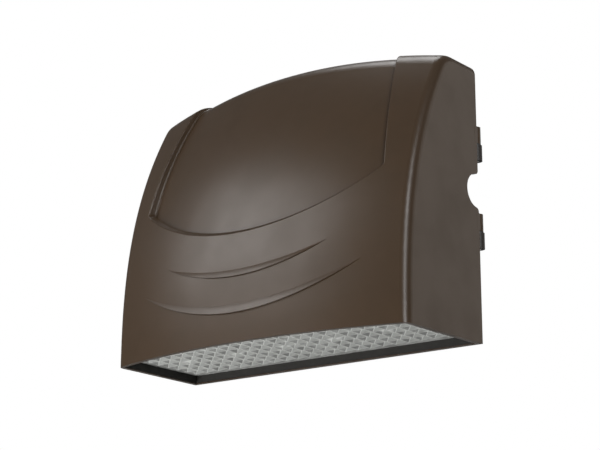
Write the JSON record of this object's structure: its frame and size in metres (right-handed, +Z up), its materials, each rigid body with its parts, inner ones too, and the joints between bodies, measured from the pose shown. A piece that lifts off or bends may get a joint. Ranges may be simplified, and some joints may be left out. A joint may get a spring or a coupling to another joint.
{
  "type": "wall pack light",
  "caption": "Outdoor full-cutoff wall pack light: a curved die-cast hood hinged on a shallow back pan, with a prismatic lens facing down.",
  "frame": {"origin": "on the wall face, in the middle of the back pan's outlet box holes, level with the conduit entries at both sides", "axes": "+Z up the wall, +Y into the wall, +X to the right for a person who faces the wall; the light stands out towards -Y"},
  "size_m": [0.2998, 0.1375, 0.2442],
  "materials": {
    "bronze_casting": "satin dark bronze powder coat",
    "black_casting": "matte near-black powder coat",
    "foam": "closed-cell foam",
    "silicone": "matte silicone rubber",
    "stainless": "plain stainless",
    "washer_nylon": "black nylon",
    "green_screw": "green dyed zinc",
    "clear_lens": "clear moulded polycarbonate",
    "bare_aluminium": "mill finish",
    "pad": "grey thermal pad",
    "white_board": "white solder mask",
    "phosphor": "yellow phosphor under silicone",
    "white_plastic": "moulded",
    "reflector_white": "high-reflectance white",
    "driver_case": "white enamelled steel can",
    "green_insulation": "insulation",
    "white_insulation": "insulation",
    "black_insulation": "insulation",
    "red_insulation": "insulation",
    "splice_plastic": "moulded"
  },
  "bodies": {
    "wall_pan": {"back_pan": "black_casting", "wall_gasket": "foam", "door_seal": "silicone", "hinge_pins": "stainless", "hinge_washers": "washer_nylon", "conduit_plug": "black_casting", "ground_screw": "green_screw"},
    "front_door": {"front_housing": "bronze_casting", "lens_seal": "silicone", "lens": "clear_lens", "led_tray": "bare_aluminium", "thermal_pad": "pad", "led_board": "white_board", "leds": "phosphor", "led_terminal": "white_plastic", "tray_screws": "stainless", "board_screws": "stainless", "reflector": "reflector_white", "gear_plate": "bare_aluminium", "gear_screws": "stainless", "driver": "driver_case", "driver_screws": "stainless", "surge_protector": "white_plastic", "ground_lead": "green_insulation", "neutral_lead": "white_insulation", "line_lead": "black_insulation", "splices": "splice_plastic", "lead_grommet": "silicone", "led_grommet": "silicone", "led_lead_negative": "black_insulation", "led_lead_positive": "red_insulation", "closing_screws": "stainless", "closing_washers": "stainless", "closing_nuts": "stainless"}
  },
  "joints": [
    {"name": "front_swing", "type": "hinge", "parent": "wall_pan", "child": "front_door", "pos_m": [0.1446, -0.0081, -0.0466], "axis": [0, 0, 1], "range_deg": [0, 90]}
  ]
}
